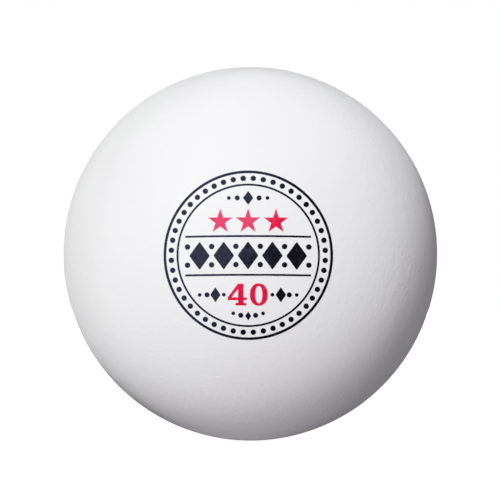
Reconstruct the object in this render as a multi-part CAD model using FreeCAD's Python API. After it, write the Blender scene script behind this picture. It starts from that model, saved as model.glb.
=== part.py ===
"""Table tennis ball, seamed, of injection-moulded ABS, in millimetres.

Two half shells meet at a lap joint round the ball's middle. The front half has a tongue
that runs inside the rear half's lip, and a thin film of cement holds them. Every piece is
a turned form about the ball's pole axis, which is Y: the front pole is at -Y, the rear pole
at +Y and the seam lies in the XZ plane. The origin is the ball's centre, and +Z is up.

The inner wall is a sphere down to a short straight band beside the seam. The band has no
undercut, so each half draws off its mould core, and it gives the joint its thickness.
"""

import FreeCAD, Part

import math
import os

# Driving sizes.
BALL_DIAMETER = 40.2
WALL = 0.495            # of both halves, away from the seam
LIP = 0.34              # rear half's outer lip, at the seam plane
TONGUE = 0.34           # front half's tongue, through its wall
TONGUE_LENGTH = 1.2     # from the seam plane to the tongue's tip
BOND_GAP = 0.04         # cement film between the halves
TIP_GAP = 0.06          # from the tongue's tip to the rear half's shoulder
TIP_CHAMFER = 0.12      # lead-in on the tongue's tip
MOUTH_CHAMFER = 0.06    # lead-in inside the lip
ROOT_FILLET = 0.05      # where the tongue leaves the front rim
EDGE_BREAK = 0.05       # chamfer on each rim's outer edge, which leaves the seam's fine line
LINE_DEPTH = 0.015      # of that line, over the cement, once the ball is tumbled smooth
BAND_BLEND = 6.0        # radius between the spherical inner wall and the straight band
BEAD_SPREAD = 0.16      # cement squeezed out inside, along each side of the joint
BEAD_HEIGHT = 0.10      # how far that bead stands into the ball

# What follows from them. Radii are from the pole axis, and heights are along it.
OUTER = BALL_DIAMETER / 2
INNER = OUTER - WALL
SOCKET = OUTER - LIP
TONGUE_OUTER = SOCKET - BOND_GAP
BAND = TONGUE_OUTER - TONGUE
RIM = BOND_GAP / 2
SHOULDER = TONGUE_LENGTH + TIP_GAP
CENTRE = (0, 0)
ROOT_CENTRE = (TONGUE_OUTER + ROOT_FILLET, ROOT_FILLET - RIM)
ROOT_ON_RIM = (TONGUE_OUTER + ROOT_FILLET, -RIM)


class Outline:
    """Half a cross-section, drawn point by point as (radius, height), then turned."""

    def __init__(self, start):
        self.start = start
        self.at = start
        self.edges = []

    def lines(self, *points):
        """Straight edges through the points."""
        for point in points:
            ends = FreeCAD.Vector(*self.at), FreeCAD.Vector(*point)
            self.edges.append(Part.LineSegment(*ends).toShape())
            self.at = point

    def arc(self, centre, point):
        """The shorter round edge about a centre, to the point."""
        chord_middle = [(a + b) / 2 - c for a, b, c in zip(self.at, point, centre)]
        reach = math.dist(centre, self.at) / math.hypot(*chord_middle)
        through = [c + m * reach for c, m in zip(centre, chord_middle)]
        ends = FreeCAD.Vector(*self.at), FreeCAD.Vector(*through), FreeCAD.Vector(*point)
        self.edges.append(Part.Arc(*ends).toShape())
        self.at = point

    def turned(self):
        """The solid that the outline, closed by a straight edge, sweeps about the pole axis."""
        self.lines(self.start)
        face = Part.Face(Part.Wire(self.edges))
        return face.revolve(FreeCAD.Vector(0, 0, 0), FreeCAD.Vector(0, 1, 0), 360)


def rim_edge(side):
    """The chamfer on a rim's outer edge, from the ball's surface to the rim's flat face."""
    height = RIM + EDGE_BREAK
    surface = (math.sqrt(OUTER**2 - height**2), side * height)
    face = (math.sqrt(OUTER**2 - RIM**2) - EDGE_BREAK, side * RIM)
    return surface, face


def draw_inner_wall(outline, side):
    """Draws the band, its tangent blend and the inner sphere to the pole, on one side."""
    blend_radius = BAND - BAND_BLEND
    blend_height = math.sqrt((INNER - BAND_BLEND) ** 2 - blend_radius**2)
    blend_centre = (blend_radius, side * blend_height)
    to_sphere = INNER / (INNER - BAND_BLEND)
    outline.lines((BAND, side * blend_height))
    outline.arc(blend_centre, (blend_radius * to_sphere, side * blend_height * to_sphere))
    outline.arc(CENTRE, (0, side * INNER))


def tongue_wall():
    """The front half's side of the joint, from the tongue's root to its tip's inner edge."""
    return [
        (TONGUE_OUTER, ROOT_FILLET - RIM),
        (TONGUE_OUTER, TONGUE_LENGTH - TIP_CHAMFER),
        (TONGUE_OUTER - TIP_CHAMFER, TONGUE_LENGTH),
        (BAND, TONGUE_LENGTH),
    ]


def socket_wall():
    """The rear half's side of the joint, from the lip's mouth to the shoulder's inner edge."""
    return [
        (SOCKET + MOUTH_CHAMFER, RIM),
        (SOCKET, RIM + MOUTH_CHAMFER),
        (SOCKET, SHOULDER),
        (BAND, SHOULDER),
    ]


def front_half():
    """The half that carries the print, with the joint's tongue."""
    surface, face = rim_edge(-1)
    root, *tip = tongue_wall()
    outline = Outline((0, -OUTER))
    outline.arc(CENTRE, surface)
    outline.lines(face, ROOT_ON_RIM)
    outline.arc(ROOT_CENTRE, root)
    outline.lines(*tip)
    draw_inner_wall(outline, -1)
    return outline.turned()


def rear_half():
    """The plain half, with the lip, and the shoulder that stands off the tongue's tip."""
    surface, face = rim_edge(1)
    outline = Outline((0, OUTER))
    outline.arc(CENTRE, surface)
    outline.lines(face, *socket_wall())
    draw_inner_wall(outline, 1)
    return outline.turned()


def film_edge(side):
    """The point on a rim's chamfer that the cement reaches, just under the ball's surface."""
    surface, face = rim_edge(side)
    share = LINE_DEPTH / EDGE_BREAK
    return tuple(s + (f - s) * share for s, f in zip(surface, face))


def seam_cement():
    """The cured film that fills the joint, from the fine line outside to the bead inside."""
    bead_top = SHOULDER + BEAD_SPREAD
    bead_foot = TONGUE_LENGTH - BEAD_SPREAD
    bead_half = (bead_top - bead_foot) / 2
    bead_radius = (bead_half**2 + BEAD_HEIGHT**2) / (2 * BEAD_HEIGHT)
    bead_centre = (BAND - BEAD_HEIGHT + bead_radius, (bead_top + bead_foot) / 2)
    outline = Outline(film_edge(-1))
    outline.arc(CENTRE, film_edge(1))
    outline.lines(rim_edge(1)[1], *socket_wall(), (BAND, bead_top))
    outline.arc(bead_centre, (BAND, bead_foot))
    outline.lines(*reversed(tongue_wall()))
    outline.arc(ROOT_CENTRE, ROOT_ON_RIM)
    outline.lines(rim_edge(-1)[1])
    return outline.turned()


def main():
    os.makedirs("parts", exist_ok=True)
    pieces = {
        "front_half_shell": front_half(),
        "rear_half_shell": rear_half(),
        "seam_cement": seam_cement(),
    }
    for node, solid in pieces.items():
        solid.exportStep(f"parts/{node}.step")


main()
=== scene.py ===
"""A table tennis ball: two matte half shells, the cement in their seam and a pad print on one pole.

Sizes are in millimetres and directions are the frame's: the origin is the ball's centre, the
printed front pole is at -Y, the seam lies in the XZ plane and +Z is up. Meshes are in metres.
"""

import logging
import math
from collections.abc import Callable, Iterable, Iterator, Sequence
from contextlib import contextmanager
from dataclasses import dataclass
from enum import Enum

import bpy
from mathutils import Matrix, Vector


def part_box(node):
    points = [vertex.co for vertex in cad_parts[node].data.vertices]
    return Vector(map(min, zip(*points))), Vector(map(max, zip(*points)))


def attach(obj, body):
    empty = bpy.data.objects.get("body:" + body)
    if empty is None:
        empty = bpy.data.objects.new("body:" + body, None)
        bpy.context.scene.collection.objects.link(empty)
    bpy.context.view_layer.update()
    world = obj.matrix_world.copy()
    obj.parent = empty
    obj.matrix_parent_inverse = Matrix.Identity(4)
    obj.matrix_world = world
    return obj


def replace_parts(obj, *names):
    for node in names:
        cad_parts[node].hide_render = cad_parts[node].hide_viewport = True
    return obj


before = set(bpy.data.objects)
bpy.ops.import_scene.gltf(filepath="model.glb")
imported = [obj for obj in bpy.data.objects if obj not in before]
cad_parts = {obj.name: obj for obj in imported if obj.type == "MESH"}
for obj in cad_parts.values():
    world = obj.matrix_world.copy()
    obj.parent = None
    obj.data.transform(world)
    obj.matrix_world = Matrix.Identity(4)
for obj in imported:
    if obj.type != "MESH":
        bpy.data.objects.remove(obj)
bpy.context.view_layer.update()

MM = 0.001
# A cut that passes a vertex closer than this, in metres, goes through the vertex.
CUT_THRESHOLD = 1e-7
# An open rim is found by its height along Y, to within this.
RIM_TOLERANCE_MM = 0.02
# Points closer than this become one, in a drawn outline and in a film that has been cut.
WELD_OUTLINE_MM = 0.001
WELD_FILM_MM = 0.002
# How many times each edge of a sphere's cube is cut. It is odd, so that grid lines cross at the
# poles.
SPHERE_CUTS = 71
# Nearly all the values of a noise texture lie between these.
NOISE_LOW, NOISE_HIGH = 0.3, 0.7
BODY = "root"

log = logging.getLogger("table_tennis_ball")

Station = tuple[float, float]
Link = float | Sequence[float] | bpy.types.NodeSocket


class Pole(Enum):
    """Which half of the ball a piece belongs to, as the sign of its side of Y."""

    FRONT = -1
    REAR = 1


def linear(colour: str) -> tuple[float, float, float, float]:
    """Turns an sRGB hex colour into the linear colour that a shader takes.

    Args:
        colour: six hex digits after a hash.

    Returns:
        Linear red, green and blue, and an alpha of 1.
    """
    channels = (int(colour[i : i + 2], 16) / 255 for i in (1, 3, 5))
    return *(c / 12.92 if c <= 0.04045 else ((c + 0.055) / 1.055) ** 2.4 for c in channels), 1.0


def add_node(
    tree: bpy.types.NodeTree,
    kind: str,
    settings: dict[str, object] | None = None,
    inputs: dict[str | int, Link] | None = None,
) -> bpy.types.Node:
    """Adds a node, with its settings, and links or sets its inputs.

    Args:
        tree: the node tree that it joins.
        kind: Blender's name for the node.
        settings: the node's own properties.
        inputs: for each socket, a socket to link from or a value.

    Returns:
        The new node.
    """
    node = tree.nodes.new(kind)
    for name, value in (settings or {}).items():
        setattr(node, name, value)
    for socket, value in (inputs or {}).items():
        if isinstance(value, bpy.types.NodeSocket):
            tree.links.new(value, node.inputs[socket])
        else:
            node.inputs[socket].default_value = value
    return node


def new_material(name: str) -> tuple[bpy.types.Material, bpy.types.NodeTree]:
    """Makes an empty node material.

    Args:
        name: the finish's name.

    Returns:
        The material and its node tree.
    """
    material = bpy.data.materials.new(name)
    material.use_nodes = True
    material.node_tree.nodes.clear()
    return material, material.node_tree


# Modelling tools.


def select_only(*pieces: bpy.types.Object) -> None:
    """Deselects everything, then selects the pieces and makes the first one active.

    Args:
        pieces: the objects to select.
    """
    bpy.ops.object.select_all(action="DESELECT")
    for piece in pieces:
        piece.select_set(True)
    bpy.context.view_layer.objects.active = pieces[0]


@contextmanager
def edit_mode(piece: bpy.types.Object) -> Iterator[None]:
    """Opens the piece in edit mode with all of it selected, and closes it afterwards.

    Args:
        piece: the mesh to edit.

    Yields:
        Nothing. The mesh is open while the block runs.
    """
    select_only(piece)
    bpy.ops.object.mode_set(mode="EDIT")
    bpy.ops.mesh.select_mode(type="VERT")
    bpy.ops.mesh.select_all(action="SELECT")
    yield
    bpy.ops.object.mode_set(mode="OBJECT")


def select_vertices(piece: bpy.types.Object, chosen: Callable[[Vector], bool]) -> None:
    """Selects the vertices of a piece that is open in edit mode, by their place.

    Args:
        piece: the piece in edit mode.
        chosen: says of a vertex's place whether it is selected.
    """
    bpy.ops.mesh.select_all(action="DESELECT")
    bpy.ops.object.mode_set(mode="OBJECT")
    for vertex in piece.data.vertices:
        vertex.select = chosen(vertex.co)
    bpy.ops.object.mode_set(mode="EDIT")


def apply_modifier(piece: bpy.types.Object, kind: str, **settings: object) -> None:
    """Adds a modifier to the piece and applies it.

    Args:
        piece: the mesh that it shapes.
        kind: Blender's name for the modifier.
        settings: the modifier's properties.
    """
    select_only(piece)
    modifier = piece.modifiers.new(kind.lower(), kind)
    for name, value in settings.items():
        setattr(modifier, name, value)
    bpy.ops.object.modifier_apply(modifier=modifier.name)


def join(pieces: Sequence[bpy.types.Object], name: str) -> bpy.types.Object:
    """Joins meshes into one piece.

    Args:
        pieces: the meshes, of which the first is kept.
        name: the joined piece's name.

    Returns:
        The joined piece.
    """
    select_only(*pieces)
    if len(pieces) > 1:
        bpy.ops.object.join()
    pieces[0].name = pieces[0].data.name = name
    return pieces[0]


def copies(pattern: bpy.types.Object, places: Iterable[Matrix]) -> list[bpy.types.Object]:
    """Copies a shape to each place, each copy with a mesh of its own, and removes the pattern.

    Args:
        pattern: the shape at the origin.
        places: where each copy goes.

    Returns:
        The copies, with their places in their meshes.
    """
    made = []
    for place in places:
        copy = pattern.copy()
        copy.data = pattern.data.copy()
        copy.data.transform(place)
        bpy.context.scene.collection.objects.link(copy)
        made.append(copy)
    bpy.data.objects.remove(pattern)
    return made


def finish_piece(
    piece: bpy.types.Object,
    material: bpy.types.Material,
    sharp_deg: float = 30,
) -> None:
    """Smooths, dresses and mounts a finished piece on the ball's body.

    Args:
        piece: the finished mesh, at the origin.
        material: its finish.
        sharp_deg: the angle between faces past which an edge stays sharp.
    """
    select_only(piece)
    bpy.ops.object.shade_smooth_by_angle(angle=math.radians(sharp_deg))
    piece.data.materials.clear()
    piece.data.materials.append(material)
    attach(piece, BODY)
    log.info("%s: %d faces, %s", piece.name, len(piece.data.polygons), material.name)


# Finishes.


@dataclass(frozen=True)
class TumbledAbs:
    """White ABS, injection moulded, then tumbled in abrasive until it is matte all over.

    The titanium white in it scatters nearly all light, and the tumbled surface has no clear
    highlight: only a fine even grain that grazing light picks out.
    """

    name: str = "white_abs_tumbled"
    colour: str = "#F1F1F0"
    shade_colour: str = "#EDECEE"
    roughness: float = 0.62
    # The scratched surface throws light back towards its source, which flattens the ball's shading.
    diffuse_roughness: float = 1.0
    ior: float = 1.54
    # The tumbled grain is about 0.02 mm, too fine to show, so it is drawn at 0.4 mm.
    grain_mm: float = 0.40
    grain_height_mm: float = 0.044
    # The low swells that moulding and tumbling leave.
    swell_mm: float = 1.20
    swell_height_mm: float = 0.042
    # The clouds of slightly different white that the mixed pigment leaves.
    cloud_mm: float = 9.0
    # How far the grain moves the roughness either way.
    roughness_spread: float = 0.04

    def material(self) -> bpy.types.Material:
        """Builds the finish: faint clouding of the white, and two sizes of relief.

        Returns:
            The new material.
        """
        material, tree = new_material(self.name)
        place = add_node(tree, "ShaderNodeTexCoord").outputs["Object"]
        cloud = add_node(
            tree,
            "ShaderNodeTexNoise",
            inputs={"Vector": place, "Scale": 1 / (self.cloud_mm * MM), "Detail": 3.0},
        )
        colour = add_node(
            tree,
            "ShaderNodeMix",
            {"data_type": "RGBA"},
            {0: cloud.outputs[0], 6: linear(self.colour), 7: linear(self.shade_colour)},
        )
        swell = add_node(
            tree,
            "ShaderNodeTexNoise",
            inputs={"Vector": place, "Scale": 1 / (self.swell_mm * MM), "Detail": 1.0},
        )
        grain = add_node(
            tree,
            "ShaderNodeTexNoise",
            inputs={"Vector": place, "Scale": 1 / (self.grain_mm * MM), "Detail": 2.0},
        )
        low = add_node(
            tree,
            "ShaderNodeBump",
            inputs={"Height": swell.outputs[0], "Distance": self.swell_height_mm * MM},
        )
        fine = add_node(
            tree,
            "ShaderNodeBump",
            inputs={
                "Height": grain.outputs[0],
                "Distance": self.grain_height_mm * MM,
                "Normal": low.outputs[0],
            },
        )
        roughness = add_node(
            tree,
            "ShaderNodeMapRange",
            inputs={
                "Value": grain.outputs[0],
                "To Min": self.roughness - self.roughness_spread,
                "To Max": self.roughness + self.roughness_spread,
            },
        )
        shader = add_node(
            tree,
            "ShaderNodeBsdfPrincipled",
            inputs={
                "Base Color": colour.outputs[2],
                "Roughness": roughness.outputs[0],
                "Diffuse Roughness": self.diffuse_roughness,
                "IOR": self.ior,
                "Normal": fine.outputs[0],
            },
        )
        add_node(tree, "ShaderNodeOutputMaterial", inputs={"Surface": shader.outputs[0]})
        return material


@dataclass(frozen=True)
class CuredCement:
    """ABS dissolved in solvent, squeezed into the seam and dried.

    It is the shells' own plastic, but denser and a shade greyer, with a satin skin.
    """

    name: str = "abs_solvent_cement"
    colour: str = "#D9D8D8"
    pale_colour: str = "#E6E5E4"
    roughness: float = 0.42
    ior: float = 1.54
    # The low lumps that it dries in.
    lump_mm: float = 1.4
    lump_height_mm: float = 0.004

    def material(self) -> bpy.types.Material:
        """Builds the finish: slow changes of tone round the seam and a low lumpy skin.

        Returns:
            The new material.
        """
        material, tree = new_material(self.name)
        place = add_node(tree, "ShaderNodeTexCoord").outputs["Object"]
        lumps = add_node(
            tree,
            "ShaderNodeTexNoise",
            inputs={"Vector": place, "Scale": 1 / (self.lump_mm * MM), "Detail": 2.0},
        )
        colour = add_node(
            tree,
            "ShaderNodeMix",
            {"data_type": "RGBA"},
            {0: lumps.outputs[0], 6: linear(self.colour), 7: linear(self.pale_colour)},
        )
        skin = add_node(
            tree,
            "ShaderNodeBump",
            inputs={"Height": lumps.outputs[0], "Distance": self.lump_height_mm * MM},
        )
        shader = add_node(
            tree,
            "ShaderNodeBsdfPrincipled",
            inputs={
                "Base Color": colour.outputs[2],
                "Roughness": self.roughness,
                "IOR": self.ior,
                "Normal": skin.outputs[0],
            },
        )
        add_node(tree, "ShaderNodeOutputMaterial", inputs={"Surface": shader.outputs[0]})
        return material


@dataclass(frozen=True)
class PadInk:
    """Solvent ink laid by a soft pad, which dries to a thin matte film.

    Its colour is painted paler towards the print's upper left, the side that faces the key light:
    a painted sheen of that light on the ink. It is faintly mottled all over. The tumbled plastic
    under it breaks up its gloss.
    """

    name: str
    # The ink's own colour, and the paler colour of its painted sheen from the key light.
    ink_colour: str
    pale_colour: str
    # Where the painted sheen is strongest and where it has gone, along the direction that it fades
    # in.
    most_sheen_at_mm: float
    no_sheen_at_mm: float
    sheen_fades: tuple[float, float, float] = (1.0, 0.0, -0.35)
    roughness: float = 0.60
    ior: float = 1.47
    # The grain under the film leaves its highlight much weaker than a smooth film's.
    specular: float = 0.10
    # The size of the mottling, and how far it moves the colour towards either end.
    mottle_mm: float = 0.35
    mottle: float = 0.40

    def material(self) -> bpy.types.Material:
        """Builds the finish: a painted sheen, palest at the print's upper left, and a faint mottling
        set its colour.

        Returns:
            The new material.
        """
        material, tree = new_material(self.name)
        place = add_node(tree, "ShaderNodeTexCoord").outputs["Object"]
        # Painted sheen: the colour is palest towards the upper left, where the key light falls, and
        # fades along this direction.
        along = add_node(
            tree,
            "ShaderNodeVectorMath",
            {"operation": "DOT_PRODUCT"},
            {0: place, 1: self.sheen_fades},
        )
        thickness = add_node(
            tree,
            "ShaderNodeMapRange",
            inputs={
                "Value": along.outputs["Value"],
                "From Min": self.most_sheen_at_mm * MM,
                "From Max": self.no_sheen_at_mm * MM,
            },
        )
        patches = add_node(
            tree,
            "ShaderNodeTexNoise",
            inputs={"Vector": place, "Scale": 1 / (self.mottle_mm * MM), "Detail": 3.0},
        )
        mottle = add_node(
            tree,
            "ShaderNodeMapRange",
            inputs={
                "Value": patches.outputs[0],
                "From Min": NOISE_LOW,
                "From Max": NOISE_HIGH,
                "To Min": -self.mottle,
                "To Max": self.mottle,
            },
        )
        # The painted sheen and the ink's own mottling, added into one mix of the two colours.
        film = add_node(
            tree,
            "ShaderNodeMath",
            {"operation": "ADD", "use_clamp": True},
            {0: thickness.outputs[0], 1: mottle.outputs[0]},
        )
        colour = add_node(
            tree,
            "ShaderNodeMix",
            {"data_type": "RGBA"},
            {0: film.outputs[0], 6: linear(self.pale_colour), 7: linear(self.ink_colour)},
        )
        shader = add_node(
            tree,
            "ShaderNodeBsdfPrincipled",
            inputs={
                "Base Color": colour.outputs[2],
                "Roughness": self.roughness,
                "IOR": self.ior,
                "Specular IOR Level": self.specular,
            },
        )
        add_node(tree, "ShaderNodeOutputMaterial", inputs={"Surface": shader.outputs[0]})
        return material


# The second colour of each ink is its painted sheen, at the print's upper left, where the key light
# falls.
DARK_INK = PadInk("pad_ink_dark", "#05040D", "#2E3044", most_sheen_at_mm=-3.5, no_sheen_at_mm=4.0)
RED_INK = PadInk(
    "pad_ink_red",
    "#E4083F",
    "#E3456D",
    most_sheen_at_mm=-2.0,
    no_sheen_at_mm=1.2,
    sheen_fades=(1.0, 0.0, -0.6),
)


# The ball.


@dataclass(frozen=True)
class LapSeam:
    """The joint between the halves, as stations of radius from the pole axis and height along it.

    The heights and the ball's radius come from the frame. The rest repeats the joint's sizes,
    in millimetres.
    """

    ball: float
    # The heights over the seam's plane of the front tongue's tip and of the rear rim's face.
    tongue_length: float
    rim: float
    # Thicknesses: of both halves away from the seam, and of the lip and the tongue in it.
    wall: float = 0.495
    lip: float = 0.34
    tongue: float = 0.34
    # Between the tongue's tip and the rear half's shoulder.
    tip_gap: float = 0.06
    tip_chamfer: float = 0.12
    mouth_chamfer: float = 0.06
    root_fillet: float = 0.05
    # The rims' outer edges are chamfered, and the cement stays a little under the surface there.
    edge_break: float = 0.05
    line_depth: float = 0.015
    # The radius between the spherical inner wall and the straight band inside the seam.
    band_blend: float = 6.0
    # How far the bead of cement inside runs past the joint on each side, and stands proud of it.
    bead_spread: float = 0.16
    bead_height: float = 0.10
    blend_steps: int = 6
    bead_steps: int = 8

    @classmethod
    def from_frame(cls) -> "LapSeam":
        """Takes the ball's radius, the tongue's tip and the rim's height from the CAD nodes.

        Returns:
            The joint, in millimetres.
        """
        front_low, front_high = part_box("front_half_shell")
        rear_low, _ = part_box("rear_half_shell")
        return cls(ball=-front_low.y / MM, tongue_length=front_high.y / MM, rim=rear_low.y / MM)

    @property
    def inner(self) -> float:
        """The inner wall's radius, away from the seam."""
        return self.ball - self.wall

    @property
    def socket(self) -> float:
        """The radius of the rear lip's inside."""
        return self.ball - self.lip

    @property
    def tongue_outer(self) -> float:
        """The radius of the front tongue's outside."""
        return self.socket - 2 * self.rim

    @property
    def band(self) -> float:
        """The radius of the straight band inside the seam."""
        return self.tongue_outer - self.tongue

    @property
    def shoulder(self) -> float:
        """The height of the rear half's shoulder, past the tongue's tip."""
        return self.tongue_length + self.tip_gap

    def rim_edge(self) -> tuple[Station, Station]:
        """The chamfer on the rear rim's outer edge. The front rim's is its mirror image.

        Returns:
            Its stations on the ball's surface and on the rim's face.
        """
        height = self.rim + self.edge_break
        surface = math.sqrt(self.ball**2 - height**2), height
        face = math.sqrt(self.ball**2 - self.rim**2) - self.edge_break, self.rim
        return surface, face

    def blend(self) -> list[Station]:
        """The round stretch from the inner sphere to the straight band.

        Returns:
            Its stations, the sphere's end first.
        """
        centre = self.band - self.band_blend
        reach = self.inner - self.band_blend
        height = math.sqrt(reach**2 - centre**2)
        end = math.atan2(height, centre)
        angles = (end * (1 - step / self.blend_steps) for step in range(self.blend_steps + 1))
        return [
            (centre + self.band_blend * math.cos(a), height + self.band_blend * math.sin(a))
            for a in angles
        ]

    def front_rim(self) -> list[Station]:
        """The front half's side of the joint, with heights that grow to +Y.

        Returns:
            The stations from the outer edge, round the tongue's root, to its tip.
        """
        _, face = self.rim_edge()
        root = self.tongue_outer + self.root_fillet
        fillet_top = self.root_fillet - self.rim
        reach = self.root_fillet * math.sqrt(0.5)
        return [
            (face[0], -face[1]),
            (root, -self.rim),
            (root - reach, fillet_top - reach),
            (self.tongue_outer, fillet_top),
            (self.tongue_outer, self.tongue_length - self.tip_chamfer),
            (self.tongue_outer - self.tip_chamfer, self.tongue_length),
        ]

    def rear_rim(self) -> list[Station]:
        """The rear half's side of the joint.

        Returns:
            The stations from the outer edge, through the lip's mouth, to the shoulder.
        """
        return [
            self.rim_edge()[1],
            (self.socket + self.mouth_chamfer, self.rim),
            (self.socket, self.rim + self.mouth_chamfer),
            (self.socket, self.shoulder),
        ]

    def bead(self) -> list[Station]:
        """The cement squeezed out inside, as a low round bead over the joint's inner end.

        Returns:
            The bead's stations, from its rear end to its front one.
        """
        foot, top = self.tongue_length - self.bead_spread, self.shoulder + self.bead_spread
        half = (top - foot) / 2
        radius = (half**2 + self.bead_height**2) / (2 * self.bead_height)
        sweep = math.asin(half / radius)
        centre = self.band - self.bead_height + radius
        angles = (
            sweep * (1 - 2 * step / self.bead_steps) for step in range(self.bead_steps + 1)
        )
        return [
            (centre - radius * math.cos(a), (foot + top) / 2 + radius * math.sin(a)) for a in angles
        ]

    def film_edge(self) -> Station:
        """Where the cement meets the rear rim's chamfer, just under the ball's surface.

        Returns:
            The station.
        """
        surface, face = self.rim_edge()
        share = self.line_depth / self.edge_break
        return tuple(s + (f - s) * share for s, f in zip(surface, face))


def sphere_part(name: str, radius: float, *walls: tuple[float, int]) -> bpy.types.Object:
    """Makes part of a sphere from a cube's grid, so that no pole lies under the print.

    The grid's lines cross the seam as meridians, so all rims of the ball have the same vertices.

    Args:
        name: the mesh's name.
        radius: the sphere's radius.
        walls: planes across Y, each with the side, 1 or -1, that is cut away beyond it.

    Returns:
        The open mesh, facing outwards.
    """
    bpy.ops.object.select_all(action="DESELECT")
    bpy.ops.mesh.primitive_cube_add(size=2 * radius * MM)
    piece = bpy.context.object
    piece.name = piece.data.name = name
    with edit_mode(piece):
        bpy.ops.mesh.subdivide(number_cuts=SPHERE_CUTS)
    apply_modifier(
        piece,
        "CAST",
        cast_type="SPHERE",
        factor=1.0,
        use_radius_as_size=False,
        size=radius * MM,
    )
    with edit_mode(piece):
        for height, side in walls:
            bpy.ops.mesh.select_all(action="SELECT")
            bpy.ops.mesh.bisect(
                plane_co=(0, height * MM, 0),
                plane_no=(0, side, 0),
                clear_outer=True,
                threshold=CUT_THRESHOLD,
            )
    return piece


def select_rim(piece: bpy.types.Object, height: float) -> None:
    """Selects an open rim of a piece that is open in edit mode.

    Args:
        piece: the open mesh in edit mode.
        height: where the rim lies along Y, in mm. The piece's other rims stay out.
    """
    bpy.ops.mesh.select_all(action="DESELECT")
    bpy.ops.mesh.select_non_manifold()
    bpy.ops.object.mode_set(mode="OBJECT")
    for edge in piece.data.edges:
        edge.select = False
    for vertex in piece.data.vertices:
        near = abs(vertex.co.y / MM - height) < RIM_TOLERANCE_MM
        vertex.select = vertex.select and near
    bpy.ops.object.mode_set(mode="EDIT")


def draw_rim(piece: bpy.types.Object, start: Station, stations: Iterable[Station]) -> None:
    """Extrudes a piece's open rim round the pole axis, from station to station.

    Args:
        piece: the open mesh.
        start: the station that the rim is at.
        stations: where the rim goes, in order.
    """
    with edit_mode(piece):
        radius, height = start
        select_rim(piece, height)
        for next_radius, next_height in stations:
            bpy.ops.mesh.extrude_region_move(
                TRANSFORM_OT_translate={"value": (0, (next_height - height) * MM, 0)}
            )
            scale = next_radius / radius
            bpy.ops.transform.resize(value=(scale, 1, scale), center_override=(0, 0, 0))
            radius, height = next_radius, next_height


def bridge_rims(piece: bpy.types.Object) -> None:
    """Closes a piece between its two open rims and turns its faces outwards.

    Args:
        piece: a mesh with two open rims of as many vertices each.
    """
    with edit_mode(piece):
        bpy.ops.mesh.select_all(action="DESELECT")
        bpy.ops.mesh.select_non_manifold()
        bpy.ops.mesh.bridge_edge_loops()
        bpy.ops.mesh.select_all(action="SELECT")
        bpy.ops.mesh.normals_make_consistent(inside=False)


@dataclass
class HalfShell:
    """One moulded half: the ball's surface, its side of the lap seam and the inner wall."""

    pole: Pole
    seam: LapSeam
    finish: bpy.types.Material

    def build(self) -> bpy.types.Object:
        """Models the half, dresses it and puts it in place of its CAD node.

        Returns:
            The finished piece.
        """
        name = f"{self.pole.name.lower()}_half_shell"
        side = self.pole.value
        surface, _ = self.seam.rim_edge()
        edge = (surface[0], side * surface[1])
        joint = self.seam.front_rim() if self.pole is Pole.FRONT else self.seam.rear_rim()
        _, joint_end = joint[-1]
        *blend, foot = [(radius, side * height) for radius, height in self.seam.blend()]
        # The outer skin goes round the joint and along the band to the blend's foot.
        outside = sphere_part(name, self.seam.ball, (edge[1], -side))
        draw_rim(outside, edge, [*joint, (self.seam.band, joint_end), foot])
        # The inner skin goes over the blend to the station before it, and the bridge joins them.
        inside = sphere_part("inner_wall", self.seam.inner, (blend[0][1], -side))
        draw_rim(inside, blend[0], blend[1:])
        shell = join([outside, inside], f"ball_{name}")
        bridge_rims(shell)
        finish_piece(shell, self.finish)
        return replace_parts(shell, name)


@dataclass
class SeamCement:
    """The film that fills the lap seam, from the fine line outside to the bead inside."""

    seam: LapSeam
    finish: bpy.types.Material

    def build(self) -> bpy.types.Object:
        """Models the film as a closed ring and puts it in place of its CAD node.

        Returns:
            The finished piece.
        """
        edge = self.seam.film_edge()
        ring = sphere_part("seam_film", math.hypot(*edge), (edge[1], 1), (-edge[1], -1))
        rear = [*self.seam.rear_rim(), (self.seam.band, self.seam.shoulder), *self.seam.bead()]
        front = [(self.seam.band, self.seam.tongue_length), *reversed(self.seam.front_rim())]
        draw_rim(ring, edge, [*rear, *front])
        bridge_rims(ring)
        join([ring], "ball_seam_cement")
        finish_piece(ring, self.finish)
        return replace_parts(ring, "seam_cement")


# The print. It is drawn flat, in millimetres, across X and Z in front of the pole, and pressed
# on the ball along Y, as a pad does it.


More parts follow.
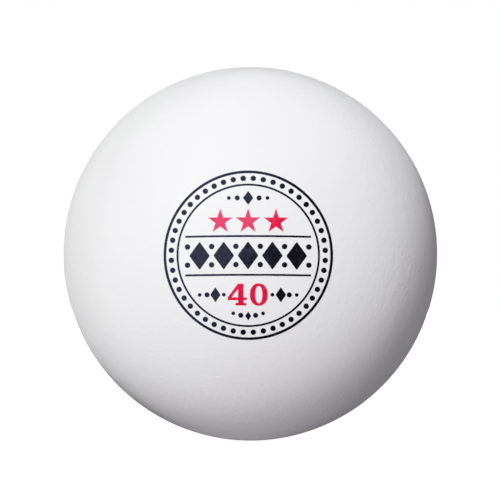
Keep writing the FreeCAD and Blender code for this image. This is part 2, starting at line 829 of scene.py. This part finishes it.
@dataclass
class PadPress:
    """The soft pad that carries a flat film of ink on to the ball."""

    ball: bpy.types.Object
    radius: float
    # A real film is about 0.01 mm thick. This one is just thick enough to clear the ball's facets.
    film_mm: float = 0.016
    # How much of the film's thickness stands above the shell's surface.
    proud: float = 0.7
    # The film's faces follow the ball in pieces no wider than this.
    grid_mm: float = 0.45
    # The film's edges are sharper than this, and its bends over the ball are not.
    sharp_deg: float = 50.0

    def place(self, u: float, v: float, turn_deg: float = 0) -> Matrix:
        """The place of a motif on the flat film, u across and v up, turned clockwise."""
        turn = Matrix.Rotation(math.radians(turn_deg), 4, "Y")
        return Matrix.Translation((u * MM, 0, v * MM)) @ turn

    def press(
        self, name: str, motifs: Sequence[bpy.types.Object], ink: bpy.types.Material, slot: str
    ) -> bpy.types.Object:
        """Joins flat motifs to one film, lays it on the ball and gives it its thickness.

        Args:
            name: the film's name.
            motifs: the flat meshes.
            ink: the film's finish.
            slot: not used.

        Returns:
            The finished film.
        """
        film = join(motifs, name)
        self._divide(film)
        # Projected from well in front of the ball, the film lands on its near side.
        film.data.transform(Matrix.Translation((0, -1.5 * self.radius * MM, 0)))
        apply_modifier(
            film,
            "SHRINKWRAP",
            target=self.ball,
            wrap_method="PROJECT",
            use_project_y=True,
            use_positive_direction=True,
            use_negative_direction=False,
        )
        # The modifier's offset runs from -1, all below the surface, to 1, all above it.
        apply_modifier(film, "SOLIDIFY", thickness=self.film_mm * MM, offset=2 * self.proud - 1)
        finish_piece(film, ink, self.sharp_deg)
        return film

    def _divide(self, film: bpy.types.Object) -> None:
        """Cuts the flat film on a grid, so that it can follow the ball, and faces it outwards.

        Args:
            film: the flat mesh.
        """
        corners = [vertex.co.copy() for vertex in film.data.vertices]
        with edit_mode(film):
            for axis in (0, 2):
                low = min(corner[axis] for corner in corners)
                high = max(corner[axis] for corner in corners)
                lines = int((high - low) / (self.grid_mm * MM))
                for line in range(1, lines + 1):
                    plane = [0.0, 0.0, 0.0]
                    normal = [0.0, 0.0, 0.0]
                    plane[axis] = low + line * (high - low) / (lines + 1)
                    normal[axis] = 1.0
                    bpy.ops.mesh.select_all(action="SELECT")
                    bpy.ops.mesh.bisect(plane_co=plane, plane_no=normal, threshold=CUT_THRESHOLD)
            bpy.ops.mesh.select_all(action="SELECT")
            bpy.ops.mesh.remove_doubles(threshold=WELD_FILM_MM * MM)
        for face in film.data.polygons:
            if face.normal.y > 0:
                face.flip()


def flat_polygon(corners: int, radius: float) -> bpy.types.Object:
    """Adds a flat regular polygon across X and Z, centred on the origin, with a corner on top.

    Args:
        corners: how many corners it has.
        radius: the radius that they lie on.

    Returns:
        The flat mesh.
    """
    bpy.ops.object.select_all(action="DESELECT")
    bpy.ops.mesh.primitive_circle_add(vertices=corners, radius=radius * MM, fill_type="NGON")
    polygon = bpy.context.object
    polygon.data.transform(Matrix.Rotation(math.radians(90), 4, "X"))
    return polygon


def lozenge(width: float, height: float, corner: float) -> bpy.types.Object:
    """Adds a flat lozenge with its corners slightly rounded, as ink leaves them.

    Args:
        width: its width across X.
        height: its height along Z.
        corner: how far back from each corner the rounding starts.

    Returns:
        The flat mesh.
    """
    shape = flat_polygon(4, 1)
    with edit_mode(shape):
        bpy.ops.transform.resize(value=(width / 2, 1, height / 2), center_override=(0, 0, 0))
        bpy.ops.mesh.bevel(offset=corner * MM, segments=3, affect="VERTICES")
    return shape


def star(radius: float) -> bpy.types.Object:
    """Adds a flat five-pointed star.

    Args:
        radius: from its centre to its points.

    Returns:
        The flat mesh.
    """
    # The inner corners' share of the radius, at which the star's edges line up in pairs.
    waist = 0.382
    tip_reach_mm = 0.1
    shape = flat_polygon(10, radius)
    angles = [math.radians(90 + 72 * point) for point in range(5)]
    tips = [Vector((math.cos(angle), 0, math.sin(angle))) * radius for angle in angles]
    with edit_mode(shape):
        select_vertices(
            shape, lambda place: min((place / MM - tip).length for tip in tips) > tip_reach_mm
        )
        bpy.ops.transform.resize(value=(waist, 1, waist), center_override=(0, 0, 0))
    return shape


def centred(count: int, pitch: float) -> list[float]:
    """Evenly spaced places on both sides of zero."""
    return [pitch * (index - (count - 1) / 2) for index in range(count)]


def oval(half_width: float, half_height: float) -> list[tuple[float, float]]:
    """The outline of a figure 0, slightly squarer than an ellipse.

    Args:
        half_width: half its width.
        half_height: half its height.

    Returns:
        The outline's corners, from the right-hand one.
    """
    corners = 36
    # An exponent of 1 would be an ellipse, and one near 0 a rectangle.
    fullness = 0.90
    outline = []
    for corner in range(corners):
        angle = math.tau * corner / corners
        across, up = math.cos(angle), math.sin(angle)
        outline.append(
            (
                half_width * math.copysign(abs(across) ** fullness, across),
                half_height * math.copysign(abs(up) ** fullness, up),
            )
        )
    return outline


def outline_shape(loops: Sequence[Sequence[tuple[float, float]]]) -> bpy.types.Object:
    """Draws closed outlines flat across X and Z, by extruding a point, and fills them.

    Args:
        loops: the outlines, outermost first, each as corners in mm.

    Returns:
        The flat mesh, with a hole for each inner outline.
    """
    drawn = []
    for loop in loops:
        bpy.ops.object.select_all(action="DESELECT")
        bpy.ops.mesh.primitive_plane_add(size=MM)
        line = bpy.context.object
        with edit_mode(line):
            bpy.ops.mesh.merge(type="COLLAPSE")
            bpy.ops.transform.translate(value=(loop[0][0] * MM, 0, loop[0][1] * MM))
            for (u, v), (next_u, next_v) in zip(loop, [*loop[1:], loop[0]]):
                step = ((next_u - u) * MM, 0, (next_v - v) * MM)
                bpy.ops.mesh.extrude_region_move(TRANSFORM_OT_translate={"value": step})
            bpy.ops.mesh.select_all(action="SELECT")
            bpy.ops.mesh.remove_doubles(threshold=WELD_OUTLINE_MM * MM)
        drawn.append(line)
    shape = join(drawn, "outline")
    with edit_mode(shape):
        bpy.ops.mesh.fill()
    return shape


def arc_stroke(
    radius: float, width: float, from_deg: float, to_deg: float, v: float = 0
) -> bpy.types.Object:
    """Adds a flat stroke along an arc, by spinning a short edge about the arc's centre.

    Args:
        radius: the radius of the stroke's middle.
        width: the stroke's width.
        from_deg: where it starts, from +X towards +Z.
        to_deg: where it ends.
        v: the height of the arc's centre.

    Returns:
        The flat mesh.
    """
    segment_mm = 0.4
    turn = Matrix.Rotation(math.radians(-from_deg), 4, "Y")
    start = turn @ Matrix.Translation((radius * MM, 0, 0))
    sweep = math.radians(to_deg - from_deg)
    bpy.ops.object.select_all(action="DESELECT")
    bpy.ops.mesh.primitive_plane_add(size=width * MM)
    stroke = bpy.context.object
    with edit_mode(stroke):
        bpy.ops.mesh.merge(type="COLLAPSE")
        bpy.ops.mesh.extrude_region_move(TRANSFORM_OT_translate={"value": (width * MM, 0, 0)})
        bpy.ops.mesh.select_all(action="SELECT")
        bpy.ops.transform.translate(value=(-width / 2 * MM, 0, 0))
    stroke.data.transform(start)
    with edit_mode(stroke):
        bpy.ops.mesh.spin(
            steps=round(radius * sweep / segment_mm),
            angle=sweep,
            center=(0, 0, 0),
            axis=(0, 1, 0),
        )
    stroke.data.transform(Matrix.Translation((0, 0, v * MM)))
    return stroke


class Lozenge(Enum):
    """The print's lozenges, each by its width, height and corner rounding in millimetres."""

    BORDER = (2.10, 2.85, 0.10)
    CREST = (1.05, 1.40, 0.07)
    SIDE = (1.05, 1.55, 0.07)
    FOOT = (0.62, 0.90, 0.05)

    def draw(self) -> bpy.types.Object:
        """Draws it flat at the origin."""
        return lozenge(*self.value)


class Pellet(Enum):
    """The print's round dots, each by its number of corners and its radius in millimetres."""

    RIM = (18, 0.28)
    BORDER = (20, 0.28)
    MIDDLE = (18, 0.26)
    SMALL = (18, 0.19)

    def draw(self) -> bpy.types.Object:
        """Draws it flat at the origin."""
        return flat_polygon(*self.value)


@dataclass
class Stamp:
    """The print: a round medal with a beaded rim, three stars, a ruled border and the size.

    Places on it are u across and v up from the pole, in millimetres.
    """

    press: PadPress
    dark: bpy.types.Material
    red: bpy.types.Material
    # The rim's two rings, and the beads between them.
    rim_radii: tuple[float, float] = (8.45, 7.15)
    rim_widths: tuple[float, float] = (0.27, 0.20)
    bead_count: int = 48
    # The two rules, and the border of lozenges between them, with a pair of pellets in each gap.
    rules_v: tuple[float, float] = (1.95, -1.95)
    rule_half: float = 6.35
    rule_width: float = 0.20
    border_count: int = 5
    border_pitch: float = 2.45
    border_pellets_v: tuple[float, float] = (-0.92, 0.92)
    # Over the border, from the top.
    crest_v: float = 5.80
    stars_v: float = 3.43
    star_radius: float = 1.31
    star_pitch: float = 2.81
    # Under the border.
    size_v: float = -3.95
    figure_height: float = 2.20
    # The soft pad bows the print's straight lines down a little at their ends.
    bow_radius: float = 250.0

    def build(self) -> None:
        """Presses every part of the print on the ball."""
        self._rim()
        self._rules()
        self._border()
        self._crest()
        self._flourish()
        self._stars()
        self._size_mark()

    def _row(self, shape: bpy.types.Object, us: Iterable[float], v: float) -> list[bpy.types.Object]:
        """Copies a shape along one of the print's bowed lines.

        Args:
            shape: the motif at the origin.
            us: where the copies go across.
            v: the line's height in its middle.

        Returns:
            The copies.
        """
        centre = v - self.bow_radius
        return copies(
            shape, [self.press.place(u, centre + math.sqrt(self.bow_radius**2 - u**2)) for u in us]
        )

    def _rim(self) -> None:
        """Two concentric rings with a ring of beads between them."""
        shapes = [
            arc_stroke(radius, width, 0, 360)
            for radius, width in zip(self.rim_radii, self.rim_widths)
        ]
        top = self.press.place(0, sum(self.rim_radii) / 2)
        turns = [360 * (bead + 0.5) / self.bead_count for bead in range(self.bead_count)]
        shapes += copies(Pellet.RIM.draw(), [self.press.place(0, 0, turn) @ top for turn in turns])
        self.press.press("print_rim", shapes, self.dark, "dark_ink")

    def _rules(self) -> None:
        """The rules above and below the border."""
        half = math.degrees(math.asin(self.rule_half / self.bow_radius))
        strokes = [
            arc_stroke(self.bow_radius, self.rule_width, 90 - half, 90 + half, v - self.bow_radius)
            for v in self.rules_v
        ]
        self.press.press("print_rules", strokes, self.dark, "dark_ink")

    def _border(self) -> None:
        """A row of lozenges between the rules, with a pair of pellets in each gap and at its ends."""
        lozenges = centred(self.border_count, self.border_pitch)
        gaps = centred(self.border_count + 1, self.border_pitch)
        shapes = self._row(Lozenge.BORDER.draw(), lozenges, 0)
        for v in self.border_pellets_v:
            shapes += self._row(Pellet.BORDER.draw(), gaps, v)
        self.press.press("print_border", shapes, self.dark, "dark_ink")

    def _crest(self) -> None:
        """A small lozenge between pellets, over the stars."""
        shapes = self._row(Lozenge.CREST.draw(), [0], self.crest_v)
        for u, pellet in ((1.10, Pellet.MIDDLE), (1.95, Pellet.SMALL)):
            shapes += self._row(pellet.draw(), [-u, u], self.crest_v)
        self.press.press("print_crest", shapes, self.dark, "dark_ink")

    def _flourish(self) -> None:
        """A lozenge between pellets on each side of the size mark, and a small row under it."""
        shapes = self._row(Lozenge.SIDE.draw(), [-3.30, 3.30], self.size_v)
        for u, pellet in ((2.45, Pellet.SMALL), (4.15, Pellet.MIDDLE), (4.90, Pellet.SMALL)):
            shapes += self._row(pellet.draw(), [-u, u], self.size_v)
        # The row under it droops towards its middle, with the rim.
        for u, v, pellet in ((1.50, -5.85, Pellet.SMALL), (0.75, -6.05, Pellet.MIDDLE)):
            shapes += self._row(pellet.draw(), [-u, u], v)
        shapes += self._row(Lozenge.FOOT.draw(), [0], -6.12)
        self.press.press("print_flourish", shapes, self.dark, "dark_ink")

    def _stars(self) -> None:
        """Three stars in a row, the mark of the best grade."""
        stars = self._row(star(self.star_radius), centred(3, self.star_pitch), self.stars_v)
        self.press.press("print_stars", stars, self.red, "red_ink")

    def _size_mark(self) -> None:
        """The ball's nominal diameter in millimetres, in upright figures with a slab foot."""
        # The 4 from its crossbar's left end, round the foot and the stem. Then the eye in it.
        four = outline_shape(
            [
                [(0.0, 0.54), (1.04, 0.54), (1.04, 0.25), (0.76, 0.25), (0.76, 0.0), (1.86, 0.0)]
                + [(1.86, 0.25), (1.58, 0.25), (1.58, 0.54), (1.94, 0.54), (1.94, 0.82)]
                + [(1.58, 0.82), (1.58, self.figure_height), (1.02, self.figure_height), (0.0, 0.84)],
                [(0.38, 0.82), (1.04, 0.82), (1.04, 1.68)],
            ]
        )
        zero = outline_shape([oval(0.90, 1.13), oval(0.36, 0.87)])
        four.data.transform(self.press.place(-2.05, self.size_v - self.figure_height / 2))
        zero.data.transform(self.press.place(1.08, self.size_v))
        self.press.press("print_size_mark", [four, zero], self.red, "red_ink")


# The studio.


def bearing(azimuth_deg: float, elevation_deg: float) -> Vector:
    """Turns a bearing round the ball into a direction.

    Args:
        azimuth_deg: from -Y towards +X.
        elevation_deg: from the floor.

    Returns:
        The unit vector from the ball's centre.
    """
    azimuth, elevation = math.radians(azimuth_deg), math.radians(elevation_deg)
    level = math.cos(elevation)
    return Vector((math.sin(azimuth) * level, -math.cos(azimuth) * level, math.sin(elevation)))


@dataclass(frozen=True)
class SoftBox:
    """A square soft light that looks at the ball."""

    name: str
    azimuth_deg: float
    elevation_deg: float
    size_mm: float
    watts: float
    colour: str = "#FFFFFF"
    # Off for a light behind the ball, which would draw a bright line along its rim.
    in_highlights: bool = True
    distance_mm: float = 700

    def hang(self) -> None:
        """Puts the light up."""
        lamp = bpy.data.lights.new(self.name, "AREA")
        lamp.shape = "SQUARE"
        lamp.size = self.size_mm * MM
        lamp.energy = self.watts
        lamp.color = linear(self.colour)[:3]
        box = bpy.data.objects.new(self.name, lamp)
        bpy.context.scene.collection.objects.link(box)
        box.location = bearing(self.azimuth_deg, self.elevation_deg) * self.distance_mm * MM
        box.rotation_euler = (-box.location).to_track_quat("-Z", "Y").to_euler()
        box.visible_glossy = self.in_highlights


@dataclass
class Studio:
    """The camera, the pale floor, the soft lights and the fill round them."""

    ball_radius: float
    lens_mm: float = 200.0
    sensor_mm: float = 36.0
    # How much of the frame's width the ball takes.
    fill_of_frame: float = 0.747
    azimuth_deg: float = 0.68
    elevation_deg: float = 0.46
    # The point that the camera looks at, beside and above the ball's centre.
    aim_mm: tuple[float, float] = (-0.045, 0.415)
    # How near and how far the camera sees, in metres.
    clip_m: tuple[float, float] = (0.01, 100.0)
    # The key from the upper left, two weaker low ones, and two that show the ball's back.
    boxes: tuple[SoftBox, ...] = (
        SoftBox("key_box", -19, 27, 220, 3.42, "#FCFFFD"),
        SoftBox("left_box", -29, 0, 140, 1.17, "#FCF8FF"),
        SoftBox("right_box", 30, -7, 120, 1.13, "#F8F4FF"),
        SoftBox("right_rear_box", 167, 5, 160, 3.2, "#FBFAFF", in_highlights=False),
        SoftBox("left_rear_box", 195, 5, 160, 1.8, "#FBFAFF", in_highlights=False),
    )
    surround_colour: str = "#FFFFFF"
    fill_colour: str = "#FFE9F2"
    fill: float = 0.02
    table_colour: str = "#F4F4F4"
    table_radius_mm: float = 500.0
    table_glow: float = 0.92

    def build(self) -> None:
        """Sets up the camera, the lights, the world and the floor."""
        self._camera()
        for box in self.boxes:
            box.hang()
        self._world()
        self._floor()
        bpy.context.scene.view_settings.view_transform = "Standard"

    def _camera(self) -> None:
        """Puts the camera where the ball fills its share of the frame."""
        half = math.atan(self.fill_of_frame * self.sensor_mm / 2 / self.lens_mm)
        distance = self.ball_radius / math.sin(half)
        lens = bpy.data.cameras.new("camera")
        lens.lens = self.lens_mm
        lens.sensor_width = self.sensor_mm
        lens.clip_start, lens.clip_end = self.clip_m
        camera = bpy.data.objects.new("camera", lens)
        bpy.context.scene.collection.objects.link(camera)
        camera.location = bearing(self.azimuth_deg, self.elevation_deg) * distance * MM
        aim = Vector((self.aim_mm[0], 0, self.aim_mm[1])) * MM
        camera.rotation_euler = (aim - camera.location).to_track_quat("-Z", "Y").to_euler()
        bpy.context.scene.camera = camera

    def _world(self) -> None:
        """A white surround for the camera, and a dim even fill for everything else."""
        world = bpy.data.worlds.new("studio_surround")
        bpy.context.scene.world = world
        world.use_nodes = True
        tree = world.node_tree
        tree.nodes.clear()
        path = add_node(tree, "ShaderNodeLightPath")
        surround = linear(self.surround_colour)
        seen = add_node(tree, "ShaderNodeBackground", inputs={"Color": surround})
        fill = add_node(
            tree,
            "ShaderNodeBackground",
            inputs={"Color": linear(self.fill_colour), "Strength": self.fill},
        )
        both = add_node(
            tree,
            "ShaderNodeMixShader",
            inputs={0: path.outputs["Is Camera Ray"], 1: fill.outputs[0], 2: seen.outputs[0]},
        )
        add_node(tree, "ShaderNodeOutputWorld", inputs={"Surface": both.outputs[0]})

    def _floor(self) -> None:
        """A round light table under the ball, so bright that the ball's shadow hardly shows."""
        bpy.ops.object.select_all(action="DESELECT")
        bpy.ops.mesh.primitive_circle_add(
            vertices=96,
            radius=self.table_radius_mm * MM,
            fill_type="NGON",
            location=(0, 0, -self.ball_radius * MM),
        )
        table = bpy.context.object
        table.name = "white_table"
        material, tree = new_material("lit_opal_acrylic")
        glow = add_node(tree, "ShaderNodeEmission", inputs={"Strength": self.table_glow})
        colour = linear(self.table_colour)
        face = add_node(tree, "ShaderNodeBsdfDiffuse", inputs={"Color": colour})
        both = add_node(tree, "ShaderNodeAddShader", inputs={0: glow.outputs[0], 1: face.outputs[0]})
        add_node(tree, "ShaderNodeOutputMaterial", inputs={"Surface": both.outputs[0]})
        table.data.materials.append(material)
        # The table is only a backdrop: the lights alone shape the ball.
        table.visible_diffuse = False
        table.visible_glossy = False
        table.visible_shadow = False


def main() -> None:
    """Builds the studio, the ball and its print."""
    seam = LapSeam.from_frame()
    Studio(ball_radius=seam.ball).build()
    plastic = TumbledAbs().material()
    front = HalfShell(Pole.FRONT, seam, plastic).build()
    HalfShell(Pole.REAR, seam, plastic).build()
    SeamCement(seam, CuredCement().material()).build()
    press = PadPress(front, seam.ball)
    Stamp(press, DARK_INK.material(), RED_INK.material()).build()


if __name__ == "__main__":
    logging.basicConfig(level=logging.INFO, format="%(name)s: %(message)s")
    main()
